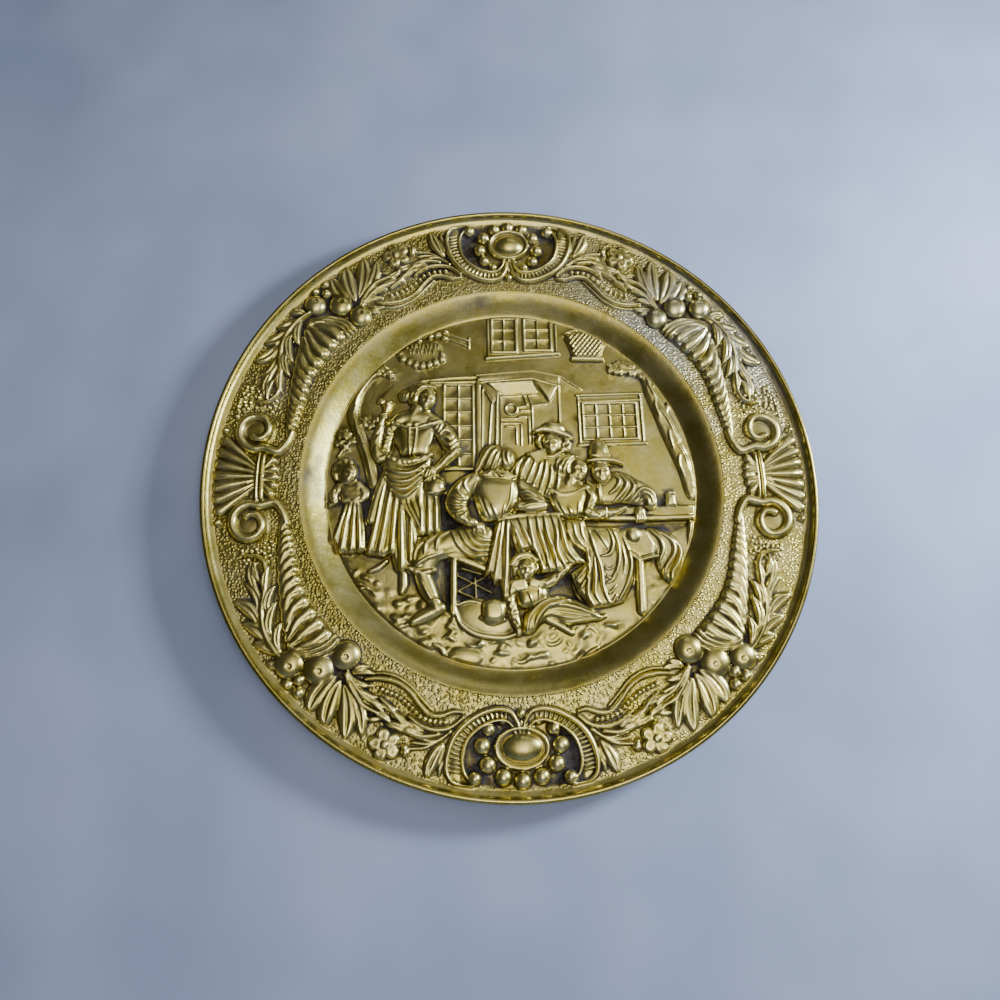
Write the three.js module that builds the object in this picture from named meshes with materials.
// Embossed brass wall plate: a tavern-yard scene in a sunk well, a plain cove, a rim of
// scrolls, fruit and horns of plenty, a smooth lip and a rolled edge. One pressed sheet.
// Millimetres, +Z up, the front faces -Y and the wall is the plane y = 0.
// The origin is on the back, on the flat land above the porch where the plate hangs.

import * as THREE from 'three';

// ---- driving sizes -------------------------------------------------------------------
const PLATE_RADIUS = 250;      // outside of the rolled edge
const WELL_RADIUS = 155;       // edge of the scene
const RIDGE_RADIUS = 175;      // crest between cove and rim
const BAND_RADIUS = 240;       // outer edge of the ornament
const SHEET = 1.4;             // thickness from back to front
const RIDGE_HEIGHT = 13.2;     // front of the ridge above the wall
const BAND_HEIGHT = 17.5;      // front of the band's outer edge above the wall
const BEAD_RADIUS = 2.2;       // rolled edge
const BEAD_HEIGHT = 22.3;      // middle of the rolled edge above the wall
const HANG_HEIGHT = 107;       // the hanging land above the plate's middle
const SINK_LIMIT = -0.1;       // deepest press below the well floor

// ---- mesh density --------------------------------------------------------------------
const POINT_STEP = 2;          // spacing of the points before thinning
const SCENE_FACES = 3200;
const BAND_FACES = 3300;
const BACK_FACES = 560;
const SCENE_RADIUS = 153;
const COVE_RADII = [156, 160, 165, 171, 175.5];
const BAND_BACK_RADII = [240, 208];
const EDGE_SEGMENTS = 72;
const SLIVER = 0.06;           // least height of a face as a share of its longest side
const SHARE_PER_PASS = 0.12;   // part of the edges that one thinning pass may join
const CELL = 0.8;              // step of the height rasters

// ---- height raster -------------------------------------------------------------------
const round = (s, q) => Math.sqrt(Math.max(0, 1 - q * q));
const board = (s, q) => Math.min(1, (1 - Math.abs(q)) / 0.4);
const ringed = (count, depth = 0.3) => (s, q) =>
  round(s, q) * (1 - depth * (1 - Math.abs(Math.sin(Math.PI * count * s))));
const leafy = (s, q) =>
  Math.sqrt(1 - Math.abs(q) ** 2.4) * (1 - 0.3 * Math.exp(-((q / 0.2) ** 2)));

/** A smooth line through points [u, v, half width]. */
function throughPoints(points, perSpan = 6, closed = false) {
  if (points.length < 3 && !closed) {
    return [0, 1].map((t) => points[t]);
  }
  const last = points.length - 1;
  const at = (i) => {
    if (closed) return points[(i + points.length) % points.length];
    if (i < 0) return points[0].map((value, k) => 2 * value - points[1][k]);
    if (i > last) return points[last].map((value, k) => 2 * value - points[last - 1][k]);
    return points[i];
  };
  const line = [];
  const spans = closed ? points.length : last;
  for (let i = 0; i < spans; i += 1) {
    const [a, b, c, d] = [at(i - 1), at(i), at(i + 1), at(i + 2)];
    for (let n = 0; n < perSpan; n += 1) {
      const t = n / perSpan;
      line.push(b.map((_, k) => 0.5 * (2 * b[k] + (c[k] - a[k]) * t
        + (2 * a[k] - 5 * b[k] + 4 * c[k] - d[k]) * t * t
        + (3 * b[k] - a[k] - 3 * c[k] + d[k]) * t ** 3)));
    }
  }
  if (!closed) line.push(points[last]);
  return line;
}

class HeightField {
  constructor(uLow, uHigh, vLow, vHigh) {
    Object.assign(this, { uLow, vLow });
    this.columns = Math.ceil((uHigh - uLow) / CELL) + 1;
    this.rows = Math.ceil((vHigh - vLow) / CELL) + 1;
    this.heights = new Float64Array(this.columns * this.rows);
  }

  /** Visit the cells inside a box with fn(u, v, index). */
  visit(uLow, uHigh, vLow, vHigh, fn) {
    const first = (low, start) => Math.max(0, Math.floor((low - start) / CELL));
    const columnEnd = Math.min(this.columns - 1, Math.ceil((uHigh - this.uLow) / CELL));
    const rowEnd = Math.min(this.rows - 1, Math.ceil((vHigh - this.vLow) / CELL));
    for (let row = first(vLow, this.vLow); row <= rowEnd; row += 1) {
      for (let column = first(uLow, this.uLow); column <= columnEnd; column += 1) {
        fn(this.uLow + column * CELL, this.vLow + row * CELL, row * this.columns + column);
      }
    }
  }

  raise(index, height) {
    this.heights[index] = Math.max(this.heights[index], height);
  }

  /** A limb, fold or stem laid along a line of [u, v, half width]. */
  sweep(points, high, base = 0, cut = round) {
    const line = throughPoints(points);
    const lengths = [0];
    for (let i = 1; i < line.length; i += 1) {
      lengths.push(lengths[i - 1] + Math.hypot(line[i][0] - line[i - 1][0],
        line[i][1] - line[i - 1][1]));
    }
    const total = lengths[line.length - 1] || 1;
    const nearest = new Map();
    for (let i = 1; i < line.length; i += 1) {
      const [[au, av, aw], [bu, bv, bw]] = [line[i - 1], line[i]];
      const reach = Math.max(aw, bw);
      const [du, dv] = [bu - au, bv - av];
      const square = du * du + dv * dv || 1;
      this.visit(Math.min(au, bu) - reach, Math.max(au, bu) + reach,
        Math.min(av, bv) - reach, Math.max(av, bv) + reach, (u, v, index) => {
          const t = Math.min(1, Math.max(0, ((u - au) * du + (v - av) * dv) / square));
          const width = aw + (bw - aw) * t;
          const off = Math.hypot(u - au - t * du, v - av - t * dv) / width;
          const known = nearest.get(index);
          if (off < 1 && (!known || off < known[0])) {
            const side = du * (v - av) - dv * (u - au) < 0 ? -1 : 1;
            nearest.set(index, [off, (lengths[i - 1] + t * Math.sqrt(square)) / total, side]);
          }
        });
    }
    for (const [index, [off, along, side]] of nearest) {
      this.raise(index, base + high * cut(along, off * side));
    }
  }

  /** Straight pieces end to end along [u, v] points. */
  timber(points, width, high) {
    for (let i = 1; i < points.length; i += 1) {
      this.sweep([[...points[i - 1], width], [...points[i], width]], high);
    }
  }

  /** A smooth mound, egg or ball. Tilt is in degrees. */
  dome(u, v, ru, rv, high, base = 0, tilt = 0, power = 0.5) {
    const [c, s] = [Math.cos(tilt * Math.PI / 180), Math.sin(tilt * Math.PI / 180)];
    const reach = Math.max(ru, rv);
    this.visit(u - reach, u + reach, v - reach, v + reach, (x, y, index) => {
      const [a, b] = [(x - u) * c + (y - v) * s, (y - v) * c - (x - u) * s];
      const inside = 1 - (a / ru) ** 2 - (b / rv) ** 2;
      if (inside > 0) this.raise(index, base + high * inside ** power);
    });
  }

  /** A patch with rounded edges inside a closed outline; added is laid on what is there. */
  patch(points, high, base = 0, soft = 3, { smooth = false, added = false } = {}) {
    const ring = smooth ? throughPoints(points, 5, true) : points;
    const us = ring.map((p) => p[0]);
    const vs = ring.map((p) => p[1]);
    this.visit(Math.min(...us), Math.max(...us), Math.min(...vs), Math.max(...vs), (u, v, index) => {
      let inside = false;
      let edge = Infinity;
      ring.forEach(([au, av], i) => {
        const [bu, bv] = ring[(i + 1) % ring.length];
        const [du, dv] = [bu - au, bv - av];
        const t = Math.min(1, Math.max(0, ((u - au) * du + (v - av) * dv) / (du * du + dv * dv || 1)));
        edge = Math.min(edge, Math.hypot(u - au - t * du, v - av - t * dv));
        if ((av > v) !== (bv > v) && u < du * (v - av) / (bv - av) + au) inside = !inside;
      });
      if (!inside) return;
      const form = high * Math.sqrt(1 - (1 - Math.min(1, edge / soft)) ** 2);
      if (added) this.heights[index] += form;
      else this.raise(index, base + form);
    });
  }

  /** Count folds spread evenly between a left and a right guide line of [u, v]. */
  folds(left, right, count, width, high, base) {
    for (let i = 0; i < count; i += 1) {
      const t = i / (count - 1);
      this.sweep(left.map(([u, v], k) => [
        u + (right[k][0] - u) * t, v + (right[k][1] - v) * t, width,
      ]), high, base);
    }
  }

  /** Run a window over both directions: average for smoothing, least for the hollow back. */
  windowed(radius, combine) {
    const reach = Math.round(radius / CELL);
    const pass = (source, stride, count) => source.map((_, index) => {
      const place = Math.floor(index / stride) % count;
      let value;
      for (let k = -reach; k <= reach; k += 1) {
        const near = Math.min(count - 1, Math.max(0, place + k));
        const next = source[index + (near - place) * stride];
        value = value === undefined ? next : combine(value, next);
      }
      return value;
    });
    const copy = Object.create(HeightField.prototype, Object.getOwnPropertyDescriptors(this));
    copy.heights = pass(pass(this.heights, 1, this.columns), this.columns, this.rows);
    return copy;
  }

  smoothed(radius) {
    const reach = Math.round(radius / CELL);
    const copy = this.windowed(radius, (a, b) => a + b);
    copy.heights = copy.heights.map((value) => value / (2 * reach + 1) ** 2);
    return copy;
  }

  at(u, v) {
    const x = Math.min(this.columns - 1.001, Math.max(0, (u - this.uLow) / CELL));
    const y = Math.min(this.rows - 1.001, Math.max(0, (v - this.vLow) / CELL));
    const [i, j] = [Math.floor(x), Math.floor(y)];
    const h = (a, b) => this.heights[(j + b) * this.columns + i + a];
    const mix = (a, b, t) => a + (b - a) * t;
    return mix(mix(h(0, 0), h(1, 0), x - i), mix(h(0, 1), h(1, 1), x - i), y - j);
  }
}

// ---- the scene: u is across, v is up from the plate's middle ---------------------------
function windowFrame(field, left, right, low, high, columns, rows) {
  const bar = (a, b, width, rise) => field.sweep([[...a, width], [...b, width]], rise, 0, board);
  const [lowLeft, lowRight, highRight, highLeft] = [[left, low], [right, low], [right, high],
    [left, high]];
  bar(lowLeft, lowRight, 1.8, 1.5);
  bar(lowRight, highRight, 1.8, 1.5);
  bar(highRight, highLeft, 1.8, 1.5);
  bar(highLeft, lowLeft, 1.8, 1.5);
  for (let i = 1; i < columns; i += 1) {
    const x = left + (right - left) * i / columns;
    bar([x, low], [x, high], 1.2, 1.1);
  }
  for (let j = 1; j < rows; j += 1) {
    const z = low + (high - low) * j / rows;
    bar([left, z], [right, z], 1.2, 1.1);
  }
}

function house(field) {
  windowFrame(field, -17, 39, 118, 154, 4, 3);
  field.sweep([[-21, 113.5, 2.2], [43, 118, 2.2]], 2.2, 0, board);
  windowFrame(field, -58, -32, 12, 89, 2, 6);
  field.sweep([[-66, 10.5, 2], [-26, 10.5, 2]], 1.9, 0, board);
  windowFrame(field, 61, 111, 36, 72, 4, 3);
  field.sweep([[57, 79, 2], [115, 80, 2]], 1.8, 0, board);
  field.sweep([[57, 31.5, 2], [115, 33.5, 2]], 2.0, 0, board);
  // porch: hood, posts and the door's panels
  field.patch([[-30, 99], [-6, 102], [22, 101], [40, 97], [52, 88], [22, 96], [-10, 93],
    [-30, 92]], 1, 0, 2);
  field.patch([[-26, 91], [-11, 79], [23, 79], [42, 86], [42, 92], [18, 93]], 2.6, 0, 2);
  field.timber([[-27, 92], [-13, 73], [-13, 30]], 1.8, 2);
  field.timber([[19, 92], [26, 79], [33, 69], [33, 34]], 1.6, 1.9);
  field.dome(0, 65, 5.5, 5.5, 1.4);
  field.timber([[-7, 53], [7, 53], [8, 31]], 1.4, 1.2);
  field.timber([[15, 76], [15, 31]], 1.4, 1.1);
  // hanging basket
  field.patch([[50, 136], [54, 114], [60, 110], [80, 111], [84, 118], [88, 133], [86, 139],
    [70, 143], [55, 141]], 3.6, 0, 6);
  field.sweep([[55, 113, 2.2], [68, 111.5, 2.4], [81, 113, 2.2]], 1.4, 2.2);
}

function innSign(field) {
  field.patch([[-97, 121], [-84, 131], [-63, 130], [-59, 122], [-61, 113], [-76, 105], [-92, 111]],
    2.2, 0, 3, { smooth: true });
  for (let i = 0; i < 7; i += 1) {
    const t = i / 6;
    field.dome(-94 + 34 * t, 112.5 - 6.5 * Math.sin(Math.PI * t), 3.2, 3.4, 1.5, 1.5);
  }
  for (const [x, z, size] of [[-88, 131, 3.6], [-80, 135, 4], [-72, 136, 4.4], [-63, 136, 4.4],
    [-57, 133, 3.6]]) {
    field.dome(x, z, size, size * 0.75, 2.4, 1.2);
  }
  field.sweep([[-64, 142, 2.2], [-50, 135, 2.4], [-37, 128, 2]], 1.8);
}

function trees(field) {
  field.sweep([[153, -8, 4.2], [150, 12, 5], [144, 32, 5.5], [135, 58, 5], [125, 80, 4.5],
    [119, 98, 4.2]], 3);
  field.sweep([[142, 40, 3], [147, 48, 2.2], [149, 52, 1.4]], 2.6, 0.8);
  field.sweep([[132, 64, 3], [136, 72, 2.4], [139, 77, 1.6]], 2.6, 0.8);
  field.sweep([[-114, 8, 3.5], [-120, 24, 4], [-128, 42, 4.2], [-135, 60, 4.2], [-131, 80, 3.6],
    [-113, 102, 2.6]], 2.8);
  const tufts = [
    [92, 104, 6], [99, 107, 5], [105, 103, 6], [112, 104, 6], [118, 98, 4.5],
    [-113, 104, 5], [-119, 98, 5], [-107, 98, 4.4], [-126, 53, 5], [-119, 51, 4.4],
    [-142, 42, 5.5], [-137, 36, 4.8], [-147, 35, 4.6],
  ];
  tufts.forEach(([x, z, size], i) => field.dome(x, z, size, size * 0.75, 2.6, 0.6, 37 * i));
}

function ground(field) {
  const ridges = [
    [[-140, -68], [-126, -72], [-112, -70]], [[-132, -88], [-120, -92], [-98, -92]],
    [[-118, -98], [-106, -96], [-96, -102]], [[-112, -106], [-100, -108], [-90, -104]],
    [[-104, -118], [-92, -114], [-78, -120]], [[-80, -134], [-66, -131], [-40, -131]],
    [[-44, -133], [-30, -137], [-4, -137]], [[-22, -142], [-8, -138], [18, -138]],
    [[8, -134], [22, -137], [38, -131]], [[64, -124], [78, -118], [92, -120]],
    [[96, -112], [110, -106], [122, -98]],
  ];
  ridges.forEach((line) => field.sweep(line.map(([x, z], i) => [x, z, i === 1 ? 3 : 2]), 2));
  field.dome(-42, -144, 14, 7.5, 3);
}

function head(field, x, z, size, high, base, turn = 0) {
  field.dome(x, z, 0.78 * size, size, high, base);
  field.dome(x + 0.3 * turn * size, z - 0.15 * size, 0.16 * size, 0.3 * size, 0.35 * high,
    base + 0.85 * high);
  field.dome(x + 0.2 * turn * size, z + 0.3 * size, 0.5 * size, 0.22 * size, 0.18 * high,
    base + 0.85 * high);
}

function child(field) {
  field.patch([[-138, -14], [-146, -32], [-153, -56], [-145, -64], [-121, -60], [-125, -36],
    [-129, -14]], 3, 0.4, 4);
  field.folds([[-140, -18], [-147, -36], [-150, -57]], [[-130, -18], [-126, -38],
    [-124, -57]], 5, 2.8, 2, 2.6);
  field.patch([[-149, -8], [-140, -2], [-128, -2], [-122, -10], [-126, -20], [-138, -20]], 3.6, 0.8, 5);
  field.sweep([[-127, -6, 3.8], [-122, -14, 4], [-132, -17, 3.4], [-141, -17, 2.8]], 2.6, 2.4);
  field.sweep([[-146, -8, 3.6], [-151, -15, 3.4], [-145, -21, 2.8]], 2.6, 1.8);
  field.dome(-140, 8, 9.5, 9.5, 4.6, 0.4);
  head(field, -136.5, 7, 8, 4.2, 1.4, 0.5);
}

function hostess(field) {
  field.patch([[-100, 14], [-110, -4], [-117, -26], [-121, -58], [-110, -65], [-100, -67], [-94, -78],
    [-86, -78], [-84, -64], [-76, -50], [-61, -46], [-59, -14], [-66, 10]], 3, 0.5, 5);
  field.folds([[-104, 0], [-112, -22], [-115, -58]], [[-96, -6], [-92, -34],
    [-90, -74]], 5, 3.4, 2.9, 2.8);
  field.folds([[-80, -8], [-80, -28], [-79, -46]], [[-62, -10], [-60, -28],
    [-61, -44]], 4, 2.6, 2.4, 3);
  // apron and its swags
  field.patch([[-106, 14], [-104, -2], [-94, -20], [-84, -34], [-76, -46], [-73, -34], [-78, -14],
    [-66, 2], [-62, 16], [-76, 22], [-96, 24]], 4.2, 1.2, 5);
  for (let i = 0; i < 4; i += 1) {
    const t = i / 3;
    field.sweep([[-107 + 3 * t, 16 - 10 * t, 2], [-100 + 4 * t, 8 - 17 * t, 2.8],
      [-86 + 2 * t, 5 - 21 * t, 2.8], [-72 - 6 * t, 14 - 22 * t, 2]], 1.8, 4.2);
  }
  field.sweep([[-103, 18, 3], [-92, 14, 3.6], [-80, 16, 3.4], [-68, 22, 2.6]], 2.4, 4.2);
  // bodice, bare shoulders and neck
  field.patch([[-101, 52], [-99, 36], [-94, 22], [-72, 22], [-69, 34], [-61, 52],
    [-84, 47]], 4.8, 1.4, 7);
  field.dome(-91, 39, 8.5, 10, 2.8, 3.8, 10);
  field.dome(-76, 40, 8.5, 10, 3, 3.8, -10);
  field.patch([[-103, 50], [-96, 58], [-86, 61], [-76, 61], [-64, 58], [-58, 50],
    [-84, 45]], 3.8, 1.2, 6);
  field.sweep([[-103, 52, 2], [-95, 49, 2.2], [-85, 46, 2.2], [-73, 49, 2.2], [-61, 53, 2]], 1.9, 4.8);
  field.sweep([[-84, 56, 5.2], [-81, 66, 4.8]], 4.4, 1.4);
  // raised arm with the glass, and the arm that carries the jug
  field.sweep([[-100, 50, 5.5], [-106, 38, 5], [-110, 26, 5]], 3.6, 1);
  field.sweep([[-108, 19, 3.5], [-115, 23, 6], [-116, 34, 5.6], [-112, 45, 4],
    [-109, 54, 3.2]], 4.4, 1.4);
  field.dome(-108.5, 57, 4, 4.6, 3.8, 1.6);
  field.patch([[-112, 61], [-113, 71], [-102, 71], [-102, 61]], 3, 0.8, 3);
  field.sweep([[-63, 49, 6.5], [-57, 42, 8], [-53, 34, 7.6], [-50, 26, 5.5]], 4.6, 1.6, ringed(5));
  field.sweep([[-49, 26, 4.8], [-55, 19, 4.4], [-66, 8, 3.6]], 3.8, 2);
  field.patch([[-80, 8], [-72, 8], [-64, 2], [-57, -3], [-55, -10], [-59, -16], [-68, -16], [-74, -8]],
    4.6, 3.2, 5, { smooth: true });
  field.dome(-67, 8, 4.6, 4, 3.4, 5);
  // cap, bun and head
  field.dome(-91, 78, 5.6, 5.2, 3.8, 0.8);
  field.dome(-79, 77, 11.5, 10.5, 5, 0.6, -20);
  head(field, -73, 74, 9.4, 5, 1.4, 0.45);
  field.sweep([[-84, 71, 2], [-82, 80, 2.8], [-75, 85, 2.8], [-67, 83, 2]], 2, 4.6);
  field.sweep([[-104, -70, 2], [-110, -74, 2.6], [-117, -77, 2]], 2.6, 1);
  field.sweep([[-90, -79, 3.6], [-90, -88, 3.8], [-91, -93, 2.6]], 3.6, 1);
}

function drinkers(field) {
  // the one in the flat hat
  field.patch([[4, 10], [8, 22], [20, 25], [34, 22], [44, 18], [40, 2], [36, -12],
    [10, -12]], 3, 0.6, 6);
  field.folds([[6, 22], [3, 6], [2, -6]], [[36, 18], [38, 0], [38, -12]], 6, 2.8, 2, 3);
  field.dome(35, 34, 8.5, 9, 4.2, 0.8);
  head(field, 31.5, 33, 8.6, 4.6, 1.6, -0.4);
  field.sweep([[20, 42, 2.6], [28, 46, 3], [38, 46, 3.4], [47, 42, 3.4], [52, 36, 2.6]], 2.8, 3.6);
  field.dome(37, 47.5, 9.5, 4.6, 2.8, 3.8, -8);
  // the seated one with bare shoulders
  field.patch([[34, -10], [40, -4], [52, -2], [60, -6], [58, -20], [56, -32], [38, -33]], 4, 1.2, 6);
  field.sweep([[33, -12, 2.2], [42, -13, 2.6], [52, -11, 2.4], [61, -6, 2]], 1.9, 4.4);
  field.sweep([[48, -4, 5], [50, 3, 4.6]], 3.8, 2.2);
  field.dome(45, 12, 10.5, 10, 5, 1, 20);
  head(field, 54, 9, 8.6, 4.8, 1.8, 0.75);
  field.dome(37.5, 9, 4.6, 5.6, 2.6, 3.4);
  // the one in the tall hat
  field.patch([[68, 4], [80, 8], [94, 6], [106, -2], [116, -14], [118, -22], [106, -32], [92, -22],
    [64, -16]], 3.6, 0.6, 6);
  field.folds([[84, 4], [80, -8], [76, -20]], [[102, 0], [104, -10], [100, -18]], 4, 3, 2.1, 3.4);
  field.sweep([[104, -2, 4.4], [113, -10, 6], [114, -20, 6.4], [107, -28, 5]], 4.4, 2, ringed(4));
  field.dome(104, -33, 4.6, 5, 3.4, 2.6);
  field.sweep([[66, -6, 5], [62, -16, 6], [60, -26, 5.6]], 4.2, 2);
  field.sweep([[58, -28, 4.6], [68, -29, 4.6], [80, -27, 3.8]], 3.8, 3);
  head(field, 74, 6, 9.2, 4.8, 1.6, -0.15);
  field.sweep([[64, 17, 2.2], [74, 15.5, 2.8], [84, 15, 2.8], [92, 13, 2]], 2.8, 4);
  field.patch([[66, 17], [66, 28], [70, 35], [77, 35], [81, 28], [82, 17]], 5, 1.6, 5);
}

function furniture(field) {
  // table, mug and far leg
  field.sweep([[58, -33, 2.8], [100, -34, 2.8], [152, -33, 2.8]], 3.8, 0.8, board);
  field.patch([[78, -22], [152, -20], [152, -32], [78, -32]], 2.2, 0.3, 2);
  field.patch([[127, -12], [126, -24], [138, -24], [137, -12]], 4.2, 1.4, 4);
  field.sweep([[147, -38, 3], [146, -56, 3], [143, -74, 2.6]], 3);
  // stool and the coat over it
  field.patch([[86, -46], [94, -42], [108, -44], [114, -54], [108, -66], [96, -67],
    [88, -58]], 3.2, 1.2, 2.5);
  field.dome(98, -50, 7, 7.5, 2.6, 3.4);
  field.sweep([[101.5, -67, 4.6], [101, -88, 4.6], [100.5, -110, 4.4]], 4.2, 0.6);
  field.patch([[114, -52], [112, -66], [118, -80], [126, -89], [134, -84], [138, -66], [130, -48],
    [118, -42]], 3.2, 0.6, 5);
  field.folds([[115, -46], [116, -62], [122, -84]], [[129, -46], [136, -64],
    [131, -84]], 4, 3, 2.2, 2.6);
  // bench with a latticed side
  field.sweep([[-57, -62, 3], [-40, -67, 3], [-22, -74, 2.8]], 3.6, 0.8, board);
  field.sweep([[-50, -66, 3.2], [-50, -88, 3.2], [-50, -109, 3]], 3.8, 0.4);
  field.sweep([[-46, -76, 1.6], [-20, -94, 1.6]], 1.8);
  field.sweep([[-46, -98, 1.6], [-22, -82, 1.6]], 1.8);
}

function skirts(field) {
  field.patch([[46, -36], [84, -40], [92, -52], [90, -74], [94, -96], [84, -106], [70, -104],
    [58, -108],
    [50, -100], [48, -76], [40, -60]], 4.2, 1, 6);
  field.folds([[46, -38], [44, -56], [50, -78], [58, -104]], [[84, -42], [92, -60], [86, -82],
    [90, -100]], 7, 3, 2.6, 4.2);
}

function tablecloth(field) {
  field.patch([[-20, -34], [-4, -32], [30, -30], [56, -34], [58, -60], [50, -72], [34, -70], [16, -66],
    [4, -62], [-4, -98], [-14, -98], [-24, -84], [-24, -58]], 4.6, 1.4, 5);
  field.sweep([[-20, -35, 3], [0, -33, 3.8], [30, -31, 3.6], [56, -33, 2.8]], 2.6, 4.4);
  field.sweep([[-17, -38, 2.4], [-20, -58, 3], [-23, -82, 2.6]], 3.6, 4.8);
  field.sweep([[-11, -37, 2.8], [-12, -62, 3.8], [-14, -96, 3.2]], 3.8, 4.8);
  field.sweep([[-4, -36, 2.8], [-4, -62, 3.8], [-6, -96, 3.2]], 3.6, 4.6);
  for (let i = 0; i < 6; i += 1) {
    const x = 2 + 9.4 * i;
    field.sweep([[x - 3, -35, 2.8], [x + 3.5, -48, 3.6], [x + 4.5, -60, 3.4],
      [x + 3, -72, 2.6]], 3.2, 4.6);
  }
}

function seatedMan(field) {
  field.patch([[-24, -38], [-52, -44], [-74, -50], [-86, -60], [-86, -74], [-72, -78], [-60, -66],
    [-40, -64], [-22, -72], [-18, -52]], 4.6, 1, 7);
  field.sweep([[-26, -50, 9], [-50, -52, 9.5], [-72, -60, 9], [-77, -72, 7]], 5, 2.2, ringed(6, 0.2));
  for (let i = 0; i < 3; i += 1) {
    field.sweep([[-52 + i, -43 - 2 * i, 2], [-44 + i, -55 - i, 2.6], [-30, -61 - i, 2.6],
      [-18, -55 - 3 * i, 2]], 1.8, 5.8);
  }
  field.sweep([[-74, -79, 5.8], [-70, -88, 6.4], [-65, -98, 4.6], [-63, -105, 4]], 5, 1);
  field.sweep([[-60, -104, 4.6], [-68, -108, 4.8], [-81, -115, 3]], 4.2, 1.2);
  // back, sleeves and hands
  field.patch([[-40, -4], [-30, 4], [-12, 6], [6, 2], [14, -6], [10, -20], [4, -32], [-16, -36],
    [-32, -34], [-38, -20]],
    5.4, 1.6, 9);
  field.dome(-12, -14, 20, 18, 2.6, 5.4);
  field.sweep([[-33, -2, 8], [-42, -10, 8.6], [-48, -22, 8.4],
    [-44, -30, 7]], 5.2, 2.6, ringed(6, 0.25));
  field.sweep([[-47, -26, 6], [-40, -34, 5], [-31, -39, 4.4]], 4.6, 4);
  field.sweep([[8, -4, 6.5], [17, -13, 7.4], [24, -24, 5.6]], 5.2, 2.4, ringed(5, 0.25));
  field.sweep([[24, -24, 5], [14, -28, 4.2], [4, -29, 3.6]], 4, 3.2);
  // collar, hair and cheek
  field.patch([[-27, 6], [-18, 8], [-6, 6], [2, 2], [-4, -4], [-14, -1], [-25, 0]], 3.2, 5, 3);
  field.dome(-15, 18, 14, 14.5, 5.8, 1.6);
  field.dome(-4, 17, 7.6, 9.4, 5, 2.2);
  field.sweep([[-8, 30, 2.6], [-19, 27, 3.2], [-25, 17, 3.2], [-22, 8, 2.4]], 2, 5.6);
}

function boyAndHat(field) {
  field.patch([[4, -108], [12, -120], [6, -126], [20, -124], [34, -112], [52, -118], [60, -113],
    [52, -103],
    [36, -100], [20, -100]], 3.4, 0.8, 5);
  for (let i = 0; i < 4; i += 1) {
    field.sweep([[7 + i, -122 + 3 * i, 2.2], [17 + i, -113 + 2 * i, 2.8], [34 + i, -104, 2.8],
      [54 + i, -109 - 2 * i, 2]], 2, 3);
  }
  field.sweep([[28, -117, 3], [43, -127, 2.4]], 3, 1);
  field.sweep([[57, -114, 2.8], [70, -114, 2]], 2.6, 1);
  field.patch([[0, -88], [10, -84], [22, -88], [26, -98], [16, -104], [4, -104],
    [-2, -98]], 4.4, 1.6, 6);
  field.sweep([[-2, -90, 4.8], [-6, -100, 5.2], [-2, -112, 4.8], [1, -124, 3.2]], 4.6, 2.2);
  field.sweep([[18, -90, 4.2], [28, -86, 4], [36, -80, 3.4], [42, -74, 3]], 4, 2.4);
  field.dome(8, -72, 10, 9.6, 5, 1.4);
  head(field, 8, -76, 8.4, 4.6, 2.4, 0.1);
  // wide-brimmed hat on the ground
  field.dome(-27, -113, 23, 15, 2.8, 0.8, -18);
  field.sweep([[-49, -108, 2], [-44, -120, 2.4], [-30, -127, 2.6], [-12, -129, 2.6],
    [2, -126, 2]], 2.2, 1.8);
  field.dome(-20, -108, 10.5, 9.5, 5.6, 1.8, -10);
}

function tavernScene() {
  const field = new HeightField(-158, 158, -158, 158);
  [ground, house, innSign, trees, child, drinkers, furniture, skirts, hostess, tablecloth, seatedMan,
  boyAndHat]
    .forEach((draw) => draw(field));
  return field;
}

// ---- the rim: u runs round from a cartouche to a side palmette, v from ridge to lip ------
// Turn is in degrees from the cartouche; the mapping keeps circles round.
const MID_RADIUS = 210;
const rimPoint = (turn, radius) => [
  MID_RADIUS * turn * Math.PI / 180, MID_RADIUS * Math.log(radius / MID_RADIUS),
];

class RimQuarter extends HeightField {
  constructor() {
    super(-6, 346, -41, 30);
  }

  rail(points, high, base = 0.5, cut = round) {
    this.sweep(points.map(([turn, radius, width]) => [
      ...rimPoint(turn, radius), width * MID_RADIUS / radius,
    ]), high, base, cut);
  }

  boss(turn, radius, wide, tall, high, base = 0.6, power = 0.6) {
    const scale = MID_RADIUS / radius;
    this.dome(...rimPoint(turn, radius), wide * scale, tall * scale, high, base, 0, power);
  }

  leaf(root, tip, width, high = 3.2, base = 0.5, bow = 0) {
    const [[u0, v0], [u1, v1]] = [rimPoint(...root), rimPoint(...tip)];
    const shape = [[0, 0.3], [0.3, 0.9], [0.6, 1], [0.85, 0.65], [1, 0.2]];
    this.sweep(shape.map(([t, full]) => {
      const off = bow * 4 * t * (1 - t);
      return [u0 + (u1 - u0) * t - (v1 - v0) * off, v0 + (v1 - v0) * t + (u1 - u0) * off, width * full];
    }), high, base, leafy);
  }
}

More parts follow.
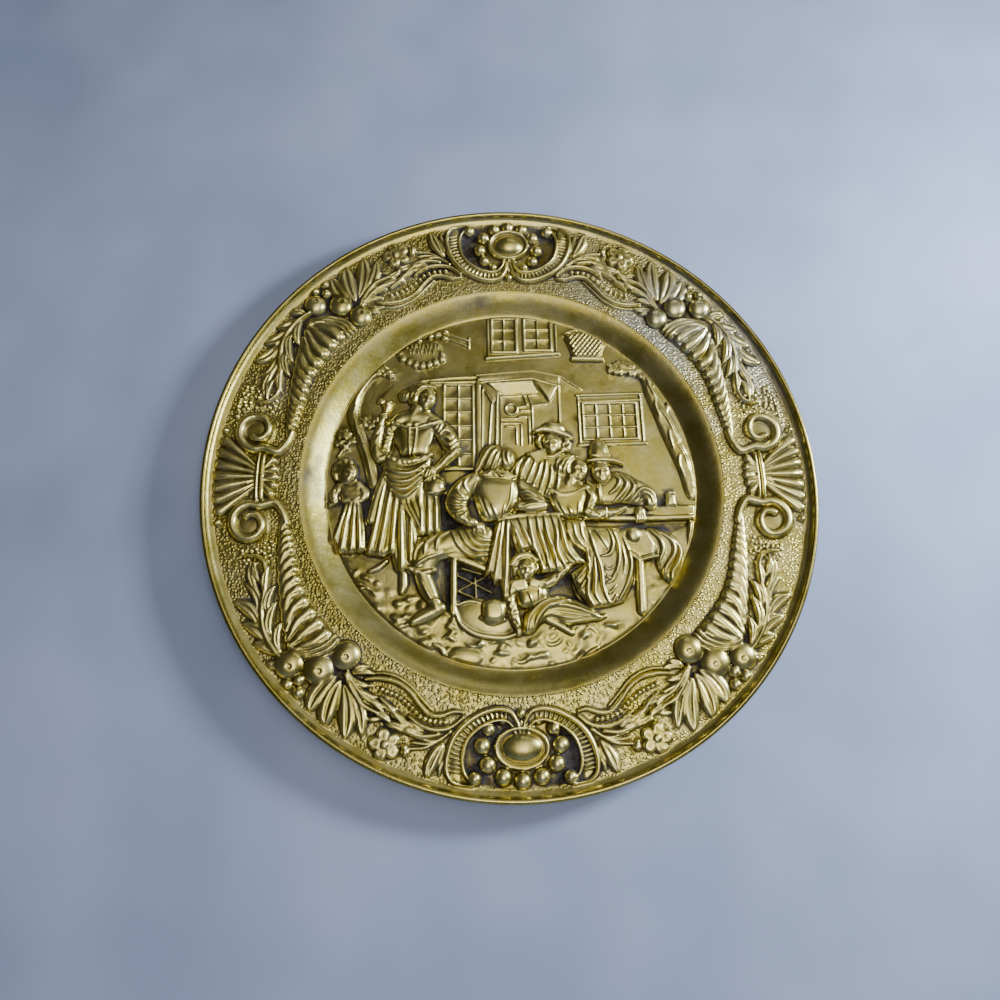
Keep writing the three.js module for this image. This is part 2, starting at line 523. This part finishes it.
function cartouche(rim, [wide, tall, middle], beads) {
  rim.boss(0, middle, wide + 4.6, tall + 4.4, 3, 0.4, 0.25);
  rim.boss(0, middle, wide, tall, 5.8, 1.6);
  beads.forEach(([turn, radius, size]) => rim.boss(turn, radius, size, size, 5.2));
  rim.boss(0, 187, 3.8, 4, 3.6);
  rim.rail([[8.4, 237, 2], [11.4, 240, 2.4], [13.6, 234, 2.6], [14.2, 216, 2.6], [12.6, 201, 2.6],
    [9, 189, 2.6],
    [5, 184.6, 2.4], [1.8, 187, 2.2], [0.5, 198, 1.8]], 3.6);
  rim.rail([[9.6, 236, 2], [11.2, 226, 2.2], [11.1, 210, 2.2], [8.4, 197.5, 2.2], [5.2, 192.8, 2.2],
    [2.6, 194.5, 2], [1.2, 203, 2]], 3.1);
  rim.boss(8.6, 234.4, 5.2, 5.2, 5.2);
}

function sprays(rim) {
  rim.leaf([15.8, 216], [16.9, 241], 4.8, 3.6, 0.5, -0.06);
  rim.rail([[15, 207, 1.8], [17.6, 217, 1.8], [21.7, 227, 1.8]], 2.6);
  rim.boss(21.9, 229, 3.8, 3.8, 3.6);
  for (let i = 0; i < 5; i += 1) {
    const angle = (90 + 72 * i) * Math.PI / 180;
    rim.boss(25.9 + 1.7 * Math.cos(angle), 230 + 6.4 * Math.sin(angle), 5.2, 5.2, 3.4, 0.6, 0.4);
  }
  rim.boss(25.9, 230, 3.6, 3.6, 3.4, 1.6);
}

function longScroll(rim) {
  rim.rail([[12.8, 194, 2], [15, 203, 2.4], [18, 207.5, 2.6], [21, 208, 2.4], [24, 205, 2]], 3.1);
  rim.rail([[13, 190.5, 1.8], [15.2, 191.5, 2.2], [17.6, 196.6, 2.6], [20, 198.4, 2.6], [23, 194, 2.6],
    [26, 188.8, 2.6], [29.5, 187, 2.6], [33, 190.5, 2.4], [36, 197.5, 2]], 3.3);
  const beads = 8;
  for (let i = 0; i < beads; i += 1) {
    const t = i / (beads - 1);
    rim.boss(17.5 + 13.5 * t, 202.4 - 7.4 * t + 3 * Math.sin(Math.PI * t) * (t < 0.5 ? 1 : -0.4),
      2.4, 2.4, 2.6);
  }
  rim.rail([[17, 210, 2], [20, 214.5, 2.8], [23, 214.5, 3], [26, 209, 2.8], [31, 203, 2]], 3.2);
  rim.leaf([23.6, 216], [27.4, 217], 3.4);
  rim.leaf([26.8, 214.5], [30.6, 211.8], 3.4);
  rim.leaf([24.2, 208], [28.4, 205.4], 3);
  // leaves between the flower and the fruit
  const spread = [[32, 211, 27.6, 238], [34, 213.5, 30.6, 240], [36, 215.5, 33.4, 240],
    [38.6, 217, 36.4, 240]];
  spread.forEach(([a, r, tipTurn, tipRadius]) => rim.leaf([a, r],
    [tipTurn, tipRadius], 3.4, 3.2, 0.5, 0.1));
  rim.rail([[30, 213, 2], [33.5, 213.5, 2.6], [37, 209, 2.8], [40, 203.5, 2.2]], 3.4);
  rim.leaf([38.6, 204], [32, 203], 3);
  rim.leaf([38.8, 200], [35.4, 190.5], 3.2, 3, 0.5, 0.12);
}

function fruit(rim, size) {
  [[43.3, 214.5, 10], [41.6, 196, 9.6], [47.4, 229.5, 9.4]]
    .forEach(([turn, radius, r]) => rim.boss(turn, radius, r * size, r * size, 6.2));
  [[42, 238], [44.7, 238.6], [43.2, 231]]
    .forEach(([turn, radius]) => rim.boss(turn, radius, 4.2 * size, 4.2 * size, 4.2));
}

/** Horn of plenty: mouth rolls, flutes that shrink towards the tail, and a closing volute. */
function horn(rim) {
  const between = (t, stops, values) => {
    const next = Math.max(1, stops.findIndex((stop) => t <= stop));
    const share = (t - stops[next - 1]) / (stops[next] - stops[next - 1]);
    return values[next - 1] + (values[next] - values[next - 1]) * share;
  };
  rim.rail([[46.2, 190.4, 2.8], [46.2, 199, 3.4], [47.4, 209, 3.2], [51.4, 220.4, 2]], 4.2);
  const flutes = 12;
  for (let i = 0; i < flutes; i += 1) {
    const t = i / (flutes - 1);
    const lowTurn = between(t, [0, 0.3, 0.62, 1], [49.6, 61.5, 71.3, 79]);
    const highTurn = between(t, [0, 0.12, 0.3, 0.62, 1], [51.2, 52.6, 56.4, 67.2, 76.8]);
    const high = between(highTurn, [50, 53, 57, 62, 67, 72, 78],
      [220, 218.5, 212.5, 205.5, 200, 195, 189.5]);
    const low = between(lowTurn, [46, 60, 64, 68, 72, 80], [191, 191.2, 189.4, 187, 185.6, 186]);
    const width = between(t, [0, 0.35, 1], [5.6, 5, 3.2]);
    rim.rail([[highTurn, high, width * 0.4], [highTurn * 0.3 + lowTurn * 0.7 + 0.6,
      high * 0.46 + low * 0.54, width * 0.86],
      [lowTurn, low + width * 0.7, width]], between(t, [0, 0.4, 1], [5.2, 4.6, 3.4]));
  }
  const [u, v] = rimPoint(79.4, 213.2);
  const volute = [[...rimPoint(78, 186.4), 2.6], [...rimPoint(81, 188), 3.2],
    [...rimPoint(83.6, 193.5), 3.6]];
  const steps = 14;
  for (let i = 0; i <= steps; i += 1) {
    const t = i / steps;
    const angle = (-32 + 500 * t) * Math.PI / 180;
    const radius = 16.4 - 11.6 * t;
    volute.push([u + radius * Math.cos(angle), v + radius * Math.sin(angle) * 0.94, 3.5 - 1.1 * t]);
  }
  rim.sweep(volute, 4.6, 0.6);
  rim.dome(u - 1, v - 0.6, 4.6, 4.4, 4.8, 0.8, 0, 0.6);
}

function hornLeaves(rim) {
  [[50.2, 229, 52.2, 240], [52, 231, 56.4, 240], [55, 232, 60.6, 240], [59, 230.5, 65, 239.4],
  [61.5, 226, 67.6, 227.4]]
    .forEach(([a, r, tipTurn, tipRadius]) => rim.leaf([a, r], [tipTurn, tipRadius], 3.8, 3.3, 0.5,
      -0.14));
  [[52.4, 227, 56.9, 215.4], [55.4, 227, 61.3, 210.4], [59.6, 221, 64.6, 206.6],
  [63.4, 215, 69.2, 205.4]]
    .forEach(([a, r, tipTurn, tipRadius]) => rim.leaf([a, r], [tipTurn, tipRadius], 3.6, 3.6, 1.4,
      0.14));
  rim.rail([[49.6, 227.5, 2.4], [53, 230, 3], [57.5, 228.6, 3.2], [61.5, 222.5, 3.1], [65, 214.6, 2.9],
    [68, 209.6, 2.7], [70.6, 209, 2.5], [72.2, 213.5, 2.2], [72.8, 220, 1.6]], 3.8, 1);
}

function palmette(rim) {
  const ribs = 5;
  for (let i = 0; i < ribs; i += 1) {
    const [foot, tip] = [85.2 + 1.2 * i, 81.4 + 2.15 * i];
    rim.rail([[foot, 209.5, 1.6], [foot - 0.4, 219, 2], [tip, 230.5, 2.2]], 3.4);
  }
  rim.boss(84.6, 234.6, 4, 4, 4);
  rim.boss(87, 234, 3.4, 3.8, 3.4);
  rim.leaf([90, 227], [90, 240.5], 4.4, 4, 0.8);
  rim.rail([[85, 207.6, 2], [95, 207.6, 2]], 3);
  rim.rail([[85, 203.4, 2], [95, 203.4, 2]], 3);
  rim.boss(86.4, 197.6, 6, 4.6, 3.6, 0.5, 0.5);
  rim.boss(90, 195.6, 7.4, 5.6, 3.6, 0.5, 0.5);
}

function rimQuarter(dome, beads, fruitSize) {
  const rim = new RimQuarter();
  cartouche(rim, dome, beads);
  sprays(rim);
  longScroll(rim);
  horn(rim);
  hornLeaves(rim);
  fruit(rim, fruitSize);
  palmette(rim);
  return rim;
}

// ---- the sheet -----------------------------------------------------------------------
const reliefs = {
  scene: tavernScene(),
  upper: rimQuarter([13, 9.6, 218],
    [[0, 236.4, 4.9], [3, 234.6, 4.9], [5.6, 226.6, 4.9], [6.8, 214.6, 4.9], [6.1, 204, 4.4],
    [4, 197.6, 3.4]], 1),
  lower: rimQuarter([15, 11, 216],
    [[0, 236.2, 5.2], [3.2, 235, 5.2], [6.3, 227.6, 5.2], [7.4, 216, 5.2], [6.9, 205, 5],
    [4, 196.5, 3.6]], 1.08),
};
const SMOOTHING = 1.2;
const HOLLOW_REACH = 7;
const fronts = {};
const backs = {};
for (const [name, field] of Object.entries(reliefs)) {
  fronts[name] = field.smoothed(SMOOTHING);
  backs[name] = fronts[name].windowed(HOLLOW_REACH, Math.min).smoothed(HOLLOW_REACH / 2)
    .windowed(CELL, Math.min);
}

function reliefAt(fields, x, z) {
  const radius = Math.hypot(x, z);
  if (radius <= WELL_RADIUS) {
    return fields.scene.at(x, z) * Math.min(1, (WELL_RADIUS - radius) / 2);
  }
  if (radius < RIDGE_RADIUS) return 0;
  const turn = Math.atan2(Math.abs(x), Math.abs(z)) * 180 / Math.PI;
  const [u, v] = rimPoint(turn, radius);
  const fade = Math.min(1, (radius - RIDGE_RADIUS) / 4, (BAND_RADIUS + 1 - radius) / 3);
  return (z >= 0 ? fields.upper : fields.lower).at(u, v) * Math.max(0, fade);
}

/** Height of the plain turned plate's front above the wall. */
function turnedHeight(radius) {
  if (radius <= WELL_RADIUS) return SHEET;
  if (radius <= RIDGE_RADIUS) {
    const t = (radius - WELL_RADIUS) / (RIDGE_RADIUS - WELL_RADIUS);
    return SHEET + (RIDGE_HEIGHT - SHEET) * (0.35 * t + 0.65 * Math.sin(t * Math.PI / 2) ** 1.3);
  }
  const t = (radius - RIDGE_RADIUS) / (BAND_RADIUS - RIDGE_RADIUS);
  return RIDGE_HEIGHT + (BAND_HEIGHT - RIDGE_HEIGHT) * t ** 1.2;
}

function frontHeight(x, z) {
  return turnedHeight(Math.hypot(x, z)) + Math.max(SINK_LIMIT, reliefAt(fronts, x, z));
}

function backHeight(x, z) {
  return Math.max(0, turnedHeight(Math.hypot(x, z)) - SHEET + Math.max(0, reliefAt(backs, x, z)));
}

/** A fine net of rings over part of the disc; its first and last rings fit the turned parts. */
function finePoints(heightAt, from, to) {
  const net = new Skin();
  const place = (radius, count) => {
    const ring = [];
    for (let i = 0; i < count; i += 1) {
      const angle = -Math.PI + 2 * Math.PI * (i + 0.5) / count;
      const [x, z] = [radius * Math.cos(angle), radius * Math.sin(angle)];
      ring.push([angle, net.addPoint(x, heightAt(x, z), z)]);
    }
    return ring;
  };
  const steps = Math.round((to - from) / POINT_STEP);
  let ring = null;
  for (let k = from ? 0 : 1; k <= steps; k += 1) {
    const radius = from + (to - from) * k / steps;
    const count = Math.max(6, Math.round(2 * Math.PI * radius / POINT_STEP));
    const next = place(radius, k === steps || k === 0 ? EDGE_SEGMENTS : count);
    if (ring) net.zip(ring, next);
    else if (from) net.innerRing = next;
    else net.closeMiddle(next, heightAt(0, 0));
    ring = next;
  }
  net.outerRing = ring;
  return net;
}

/** The nine sums of a plane's squared distance, for a face with corners a, b and c. */
function planeQuadric(a, b, c) {
  const [ux, uy, uz] = [b[0] - a[0], b[1] - a[1], b[2] - a[2]];
  const [vx, vy, vz] = [c[0] - a[0], c[1] - a[1], c[2] - a[2]];
  const n = [uy * vz - uz * vy, uz * vx - ux * vz, ux * vy - uy * vx];
  const area = Math.hypot(...n) || 1e-12;
  const [x, y, z] = n.map((value) => value / area);
  const d = -(x * a[0] + y * a[1] + z * a[2]);
  return [x * x, x * y, x * z, x * d, y * y, y * z, y * d, z * z, z * d,
    d * d].map((value) => value * area);
}

const quadricError = (q, [x, y, z]) => q[0] * x * x + q[4] * y * y + q[7] * z * z + q[9]
  + 2 * (q[1] * x * y + q[2] * x * z + q[3] * x + q[5] * y * z + q[6] * y + q[8] * z);

/** The point where a quadric is least, or nothing where it has no clear low point. */
function leastPoint(q) {
  const [a, b, c, d, e, f, g, h, i] = q;
  const det = a * (e * h - f * f) - b * (b * h - f * c) + c * (b * f - e * c);
  const scale = Math.abs(a * e * h) + 1e-12;
  if (Math.abs(det) < 1e-3 * scale) return null;
  return [
    -(d * (e * h - f * f) - b * (g * h - f * i) + c * (g * f - e * i)) / det,
    -(a * (g * h - f * i) - d * (b * h - f * c) + c * (b * i - g * c)) / det,
    -(a * (e * i - g * f) - b * (b * i - g * c) + d * (b * f - e * c)) / det,
  ];
}

/**
 * Thin a skin to a number of faces by joining the ends of the edges that matter least.
 * Points of its first and last rings stay; no face may turn over or become a sliver.
 */
function thinned(net, target) {
  const points = [];
  for (let i = 0; i < net.points.length; i += 3) points.push(net.points.slice(i, i + 3));
  const faces = [];
  for (let i = 0; i < net.faces.length; i += 3) faces.push(net.faces.slice(i, i + 3));
  const locked = new Set([...(net.innerRing ?? []), ...net.outerRing].map(([, id]) => id));
  const quadrics = points.map(() => new Array(10).fill(0));
  const fans = points.map(() => new Set());
  faces.forEach((face, f) => {
    const plane = planeQuadric(...face.map((id) => points[id]));
    face.forEach((id) => {
      plane.forEach((value, k) => { quadrics[id][k] += value; });
      fans[id].add(f);
    });
  });
  const facing = ([ax, , az], [bx, , bz], [cx, , cz]) => (bx - ax) * (cz - az) - (bz - az) * (cx - ax);
  const longest = (corners) => Math.max(...corners.map(([x, , z], k) => {
    const [nx, , nz] = corners[(k + 1) % 3];
    return (nx - x) ** 2 + (nz - z) ** 2;
  }));
  const sign = Math.sign(facing(...faces[0].map((id) => points[id])));
  const neighbours = (id) =>
    new Set([...fans[id]].flatMap((f) => faces[f]).filter((other) => other !== id));
  const plan = (a, b) => {
    const sum = quadrics[a].map((value, k) => value + quadrics[b][k]);
    let choices = [points[a], points[b], points[a].map((value, k) => (value + points[b][k]) / 2)];
    if (locked.has(a)) choices = [points[a]];
    else if (locked.has(b)) choices = [points[b]];
    else {
      const best = leastPoint(sum);
      const far = best && Math.hypot(...best.map((value, k) => value - choices[2][k]));
      if (best && far < POINT_STEP) choices.push(best);
    }
    const costs = choices.map((choice) => quadricError(sum, choice));
    const cost = Math.min(...costs);
    return { a, b, cost, sum, place: choices[costs.indexOf(cost)] };
  };
  const join = ({ a, b, sum, place }) => {
    const shared = [...fans[a]].filter((f) => fans[b].has(f));
    const around = neighbours(a);
    if ([...neighbours(b)].filter((id) => around.has(id)).length !== 2 || shared.length !== 2) return 0;
    for (const f of new Set([...fans[a], ...fans[b]])) {
      if (shared.includes(f)) continue;
      const corners = faces[f].map((id) => (id === a || id === b ? place : points[id]));
      if (facing(...corners) * sign < SLIVER * longest(corners)) return 0;
    }
    const [keep, drop] = locked.has(b) ? [b, a] : [a, b];
    shared.forEach((f) => {
      faces[f].forEach((id) => fans[id].delete(f));
      faces[f] = null;
    });
    fans[drop].forEach((f) => {
      faces[f] = faces[f].map((id) => (id === drop ? keep : id));
      fans[keep].add(f);
    });
    fans[drop].clear();
    points[keep] = place;
    quadrics[keep] = sum;
    return shared.length;
  };
  let left = faces.length;
  while (left > target) {
    const before = left;
    const edges = [];
    for (const face of faces) {
      if (!face) continue;
      face.forEach((a, k) => {
        const b = face[(k + 1) % 3];
        if (a < b && !(locked.has(a) && locked.has(b))) edges.push(plan(a, b));
      });
    }
    edges.sort((first, second) => first.cost - second.cost);
    const moved = new Set();
    for (const edge of edges.slice(0, Math.ceil(edges.length * SHARE_PER_PASS))) {
      if (left <= target) break;
      if (moved.has(edge.a) || moved.has(edge.b)) continue;
      const gone = join(edge);
      left -= gone;
      if (gone) neighbours(locked.has(edge.b) ? edge.b : edge.a).forEach((id) => moved.add(id));
      if (gone) moved.add(edge.a).add(edge.b);
    }
    if (left === before) break;
  }
  return { ...net, points, faces: faces.filter(Boolean) };
}

/** Builds one closed skin from nets, rings and the strips between them. */
class Skin {
  constructor() {
    this.points = [];
    this.faces = [];
  }

  addPoint(x, height, z) {
    this.points.push(x, -height, z - HANG_HEIGHT);
    return this.points.length / 3 - 1;
  }

  closeMiddle(ring, height) {
    const middle = this.addPoint(0, height, 0);
    ring.forEach(([, id], i) => this.faces.push(middle, id, ring[(i + 1) % ring.length][1]));
  }

  /** Join a thinned net to a ring already here, if it has an inner one. Returns its outer ring. */
  addNet({ points, faces, innerRing, outerRing }, ring = null) {
    const indexOf = new Map();
    if (ring) innerRing.forEach(([, id], i) => indexOf.set(id, ring[i][1]));
    const index = (id) => {
      if (!indexOf.has(id)) {
        indexOf.set(id, this.points.length / 3);
        this.points.push(...points[id]);
      }
      return indexOf.get(id);
    };
    faces.forEach((face) => this.faces.push(...face.map(index)));
    return outerRing.map(([angle, id]) => [angle, index(id)]);
  }

  /** Close the skin with a net that faces the wall, its outer ring zipped to the last one. */
  closeBack(ring, { points, faces, outerRing }) {
    const first = this.points.length / 3;
    points.forEach((point) => this.points.push(...point));
    faces.forEach(([a, b, c]) => this.faces.push(first + a, first + c, first + b));
    this.zip(ring, outerRing.map(([angle, id]) => [angle, first + id]));
  }

  addRing(radius, height) {
    const ring = [];
    for (let i = 0; i < EDGE_SEGMENTS; i += 1) {
      const angle = -Math.PI + 2 * Math.PI * (i + 0.5) / EDGE_SEGMENTS;
      ring.push([angle, this.addPoint(radius * Math.cos(angle), height, radius * Math.sin(angle))]);
    }
    return ring;
  }

  /** Zip two rings that may hold different numbers of points. */
  zip(inner, outer) {
    const wrap = (ring, i) => {
      const [angle, id] = ring[i % ring.length];
      return [angle + 2 * Math.PI * Math.floor(i / ring.length), id];
    };
    let i = 0;
    let j = 0;
    while (i < inner.length || j < outer.length) {
      const [nextInner, nextOuter] = [wrap(inner, i + 1), wrap(outer, j + 1)];
      const corners = [wrap(inner, i)[1], wrap(outer, j)[1]];
      if (j >= outer.length || (i < inner.length && nextInner[0] < nextOuter[0])) {
        this.faces.push(...corners, nextInner[1]);
        i += 1;
      } else {
        this.faces.push(...corners, nextOuter[1]);
        j += 1;
      }
    }
  }

  geometry() {
    const geometry = new THREE.BufferGeometry();
    geometry.setAttribute('position', new THREE.Float32BufferAttribute(this.points, 3));
    geometry.setIndex(this.faces);
    geometry.computeVertexNormals();
    return geometry;
  }
}

/** Radius and height of the lip's front, the rolled edge and the lip's back, in order. */
function edgeProfile() {
  const middle = PLATE_RADIUS - BEAD_RADIUS;
  const profile = [[BAND_RADIUS + 3.4, BAND_HEIGHT + 1.4]];
  for (const degrees of [160, 100, 40, -20, -90]) {
    const angle = degrees * Math.PI / 180;
    profile.push([middle + BEAD_RADIUS * Math.cos(angle), BEAD_HEIGHT + BEAD_RADIUS * Math.sin(angle)]);
  }
  profile.push([BAND_RADIUS + 4.2, BAND_HEIGHT + 0.3]);
  return profile;
}

function embossedPlate() {
  const skin = new Skin();
  const turn = (from, profile) => profile.reduce((ring, [radius, height]) => {
    const next = skin.addRing(radius, height);
    skin.zip(ring, next);
    return next;
  }, from);
  const front = COVE_RADII.map((radius) => [radius, turnedHeight(radius)]);
  const back = [...BAND_BACK_RADII, ...front.map(([radius]) => radius).reverse()]
    .map((radius) => [radius, turnedHeight(radius) - SHEET]);
  let ring = skin.addNet(thinned(finePoints(frontHeight, 0, SCENE_RADIUS), SCENE_FACES));
  ring = turn(ring, front);
  const band = finePoints(frontHeight, front[front.length - 1][0], BAND_RADIUS);
  ring = skin.addNet(thinned(band, BAND_FACES), ring);
  ring = turn(ring, [...edgeProfile(), ...back]);
  skin.closeBack(ring, thinned(finePoints(backHeight, 0, SCENE_RADIUS), BACK_FACES));
  const brass = new THREE.MeshStandardMaterial({ color: 0x9c8a45, roughness: 0.38, metalness: 1 });
  const plate = new THREE.Mesh(skin.geometry(), brass);
  plate.name = 'embossed_plate';
  return plate;
}

const plaque = new THREE.Group();
plaque.add(embossedPlate());

export default plaque;
